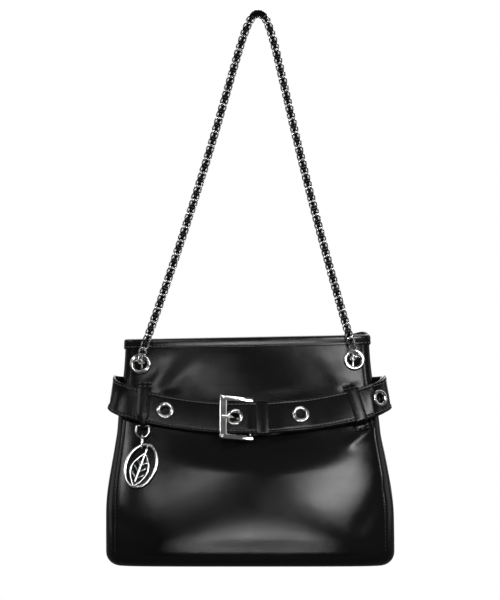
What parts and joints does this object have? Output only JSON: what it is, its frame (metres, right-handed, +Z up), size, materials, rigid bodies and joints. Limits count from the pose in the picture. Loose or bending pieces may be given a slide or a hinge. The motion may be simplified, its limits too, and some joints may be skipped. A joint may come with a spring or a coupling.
{
  "type": "belted shoulder bag",
  "caption": "Soft leather shoulder bag with a wide base, a buckled belt round the body, a chain strap laced with leather and a hanging oval charm.",
  "frame": {"origin": "the underside of the strap at its highest point, from which the bag hangs", "axes": "+Z up, the front faces -Y, +X to the right of someone who looks at the front"},
  "size_m": [0.2879, 0.0931, 0.5543],
  "materials": {
    "gloss_leather": "glossy black",
    "inner_leather": "matt black",
    "lining_cloth": "woven black",
    "fibre_board": "pressed fibre",
    "nickel": "polished nickel"
  },
  "bodies": {
    "strap": {"strap_chain_left": "nickel", "strap_chain_right": "nickel", "strap_lace": "gloss_leather"},
    "bag": {"front_panel": "gloss_leather", "back_panel": "gloss_leather", "side_gusset_right": "gloss_leather", "side_gusset_left": "gloss_leather", "base_panel": "gloss_leather", "mouth_binding": "gloss_leather", "belt_strap": "gloss_leather", "belt_keeper": "gloss_leather", "belt_carrier_left": "gloss_leather", "belt_carrier_right": "gloss_leather", "belt_carrier_back_left": "gloss_leather", "belt_carrier_back_right": "gloss_leather", "facing_front": "inner_leather", "facing_back": "inner_leather", "snap_front": "nickel", "snap_back": "nickel", "strap_eyelet_left": "nickel", "strap_eyelet_right": "nickel", "strap_eyelet_washer_left": "nickel", "strap_eyelet_washer_right": "nickel", "through_link_left": "nickel", "through_link_right": "nickel", "anchor_bar_left": "nickel", "anchor_bar_right": "nickel", "belt_eyelet_1": "nickel", "belt_eyelet_2": "nickel", "belt_eyelet_3": "nickel", "belt_eyelet_4": "nickel", "lining": "lining_cloth", "base_board": "fibre_board"},
    "buckle": {"buckle_frame": "nickel", "buckle_bar": "nickel"},
    "prong": {"buckle_prong": "nickel"},
    "charm_ring": {"charm_d_ring": "nickel"},
    "charm": {"charm_link": "nickel", "charm": "nickel"}
  },
  "joints": [
    {"name": "bag_swing", "type": "hinge", "parent": "strap", "child": "bag", "pos_m": [-0.01097, 0, -0.34088], "axis": [0.9998, -0.0001, 0.018], "range_deg": [-85, 5]},
    {"name": "buckle_tilt", "type": "hinge", "parent": "bag", "child": "buckle", "pos_m": [-0.00813, -0.01597, -0.40082], "axis": [0.0014, 0.3517, 0.9361], "range_deg": [0, 4]},
    {"name": "prong_tilt", "type": "hinge", "parent": "buckle", "child": "prong", "pos_m": [-0.00813, -0.01597, -0.40082], "axis": [0.0014, 0.3517, 0.9361], "range_deg": [0, 3]},
    {"name": "ring_lift", "type": "hinge", "parent": "bag", "child": "charm_ring", "pos_m": [-0.1151, -0.01508, -0.40761], "axis": [-0.993, 0.1182, 0], "range_deg": [0, 100]},
    {"name": "charm_swing", "type": "hinge", "parent": "charm_ring", "child": "charm", "pos_m": [-0.11556, -0.01892, -0.41875], "axis": [-0.1117, -0.9381, 0.3278], "range_deg": [-25, 25]}
  ]
}
